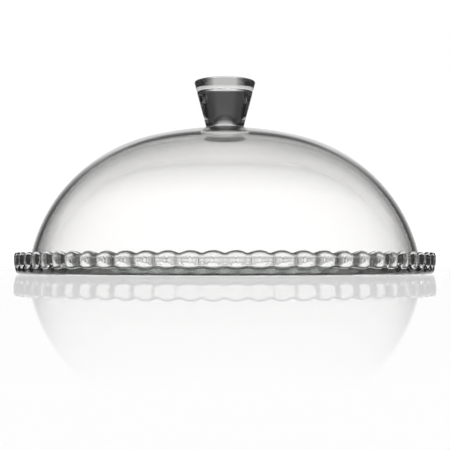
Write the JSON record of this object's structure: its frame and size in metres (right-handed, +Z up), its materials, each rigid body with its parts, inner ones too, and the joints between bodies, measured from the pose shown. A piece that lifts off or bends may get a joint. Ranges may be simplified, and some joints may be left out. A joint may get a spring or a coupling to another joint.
{
  "type": "cake plate with domed cover",
  "caption": "Round clear-glass cake plate with a low scalloped rim, and a loose domed glass cover with a tapered solid knob.",
  "frame": {"origin": "middle of the plate's underside, on the surface that it stands on", "axes": "+Z up along the common axis of plate, dome and knob; -Y towards the camera of the picture"},
  "size_m": [0.322, 0.3216, 0.1507],
  "materials": {
    "plate_glass": "fire-polished pressed clear glass",
    "cover_glass": "smooth clear glass"
  },
  "bodies": {
    "root": {"plate": "plate_glass", "dome_cover": "cover_glass"}
  },
  "joints": []
}
